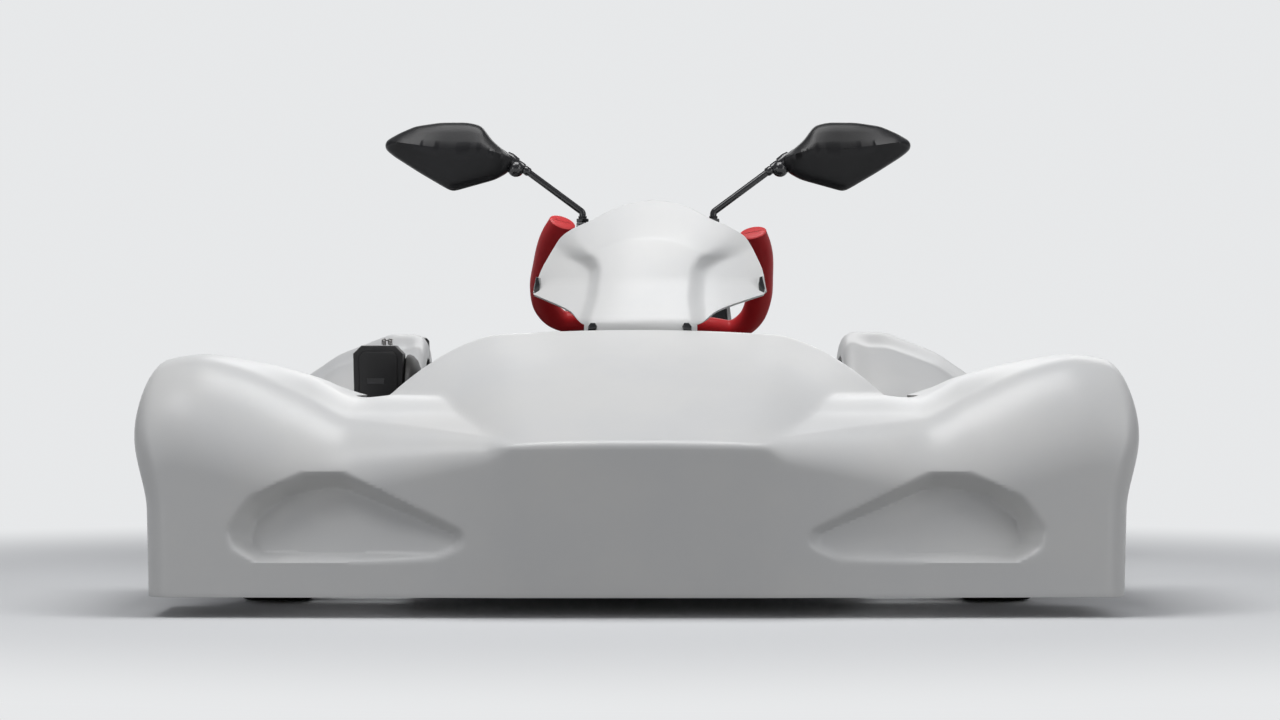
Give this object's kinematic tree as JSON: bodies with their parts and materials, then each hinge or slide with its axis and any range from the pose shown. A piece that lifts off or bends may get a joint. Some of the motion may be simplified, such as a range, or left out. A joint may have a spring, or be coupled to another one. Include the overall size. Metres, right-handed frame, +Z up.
{
  "type": "racing kart",
  "caption": "Racing kart with a full-width white front cowl, red open-top steering wheel, road mirrors and rear wheel fenders.",
  "frame": {"origin": "centre of the bounding box on the floor under the wheels", "axes": "+X to the driver's left, +Y to the rear, +Z up; the nose points to -Y"},
  "size_m": [1.336, 1.7597, 0.684],
  "materials": {
    "white_body": "gloss",
    "black_plastic": "satin",
    "gloss_black": "gloss",
    "red_grip": "satin",
    "tyre_rubber": "matte",
    "frame_paint": "satin",
    "bare_alloy": "satin",
    "bright_steel": "brushed",
    "cast_metal": "matte",
    "mirror_face": "mirror"
  },
  "bodies": {
    "chassis": {"main_rail_left": "frame_paint", "main_rail_right": "frame_paint", "cross_tubes": "frame_paint", "front_axle_beam": "frame_paint", "front_hoop": "frame_paint", "side_guard_left": "frame_paint", "side_guard_right": "frame_paint", "rear_bumper_frame": "frame_paint", "floor_tray": "bare_alloy", "front_cowl": "white_body", "steering_fairing": "white_body", "side_pod_left": "white_body", "side_pod_right": "white_body", "rear_fender_left": "white_body", "rear_fender_right": "white_body", "rear_bumper_cover": "black_plastic", "seat": "black_plastic", "seat_stays": "frame_paint", "steering_support": "frame_paint", "mirror_left": "gloss_black", "mirror_right": "gloss_black", "mirror_glasses": "mirror_face", "rear_bearings": "bare_alloy", "brake_caliper": "bare_alloy", "engine_block": "bare_alloy", "air_box_and_shroud": "black_plastic", "muffler": "cast_metal", "chain": "bright_steel", "fuel_tank": "black_plastic", "pedals": "bright_steel"},
    "steering": {"steering_column": "bright_steel", "steering_wheel": "red_grip"},
    "knuckle_left_body": {"knuckle_left": "bright_steel"},
    "knuckle_right_body": {"knuckle_right": "bright_steel"},
    "tie_rod_left_body": {"tie_rod_left": "bright_steel"},
    "tie_rod_right_body": {"tie_rod_right": "bright_steel"},
    "front_wheel_left": {"front_rim_left": "bare_alloy", "front_tyre_left": "tyre_rubber"},
    "front_wheel_right": {"front_rim_right": "bare_alloy", "front_tyre_right": "tyre_rubber"},
    "rear_axle_set": {"rear_axle": "bright_steel", "rear_rims": "bare_alloy", "rear_tyres": "tyre_rubber", "sprocket": "bright_steel", "brake_disc": "bright_steel"}
  },
  "joints": [
    {"name": "steering", "type": "hinge", "parent": "chassis", "child": "steering", "pos_m": [0.026, -0.49, 0.13], "axis": [0, 0.7071, 0.7071], "range_deg": [-54, 54]},
    {"name": "steer_left", "type": "hinge", "parent": "chassis", "child": "knuckle_left_body", "pos_m": [0.43, -0.49, 0.128], "axis": [0, 0, 1], "range_deg": [-25, 25]},
    {"name": "steer_right", "type": "hinge", "parent": "chassis", "child": "knuckle_right_body", "pos_m": [-0.43, -0.49, 0.128], "axis": [0, 0, 1], "range_deg": [-25, 25]},
    {"name": "rod_left", "type": "hinge", "parent": "knuckle_left_body", "child": "tie_rod_left_body", "pos_m": [0.418, -0.395, 0.1215], "axis": [0, 0, 1], "range_deg": [-25, 25]},
    {"name": "rod_right", "type": "hinge", "parent": "knuckle_right_body", "child": "tie_rod_right_body", "pos_m": [-0.418, -0.395, 0.1215], "axis": [0, 0, 1], "range_deg": [-25, 25]},
    {"name": "spin_front_left", "type": "hinge", "parent": "knuckle_left_body", "child": "front_wheel_left", "pos_m": [0.505, -0.49, 0.128], "axis": [1, 0, 0], "continuous": true},
    {"name": "spin_front_right", "type": "hinge", "parent": "knuckle_right_body", "child": "front_wheel_right", "pos_m": [-0.505, -0.49, 0.128], "axis": [1, 0, 0], "continuous": true},
    {"name": "spin_rear", "type": "hinge", "parent": "chassis", "child": "rear_axle_set", "pos_m": [0, 0.57, 0.14], "axis": [1, 0, 0], "continuous": true}
  ],
  "couplings": [
    {"joint": "steer_left", "follows": "steering", "ratio": 0.45},
    {"joint": "steer_right", "follows": "steering", "ratio": 0.45},
    {"joint": "rod_left", "follows": "steering", "ratio": -0.45},
    {"joint": "rod_right", "follows": "steering", "ratio": -0.45}
  ]
}
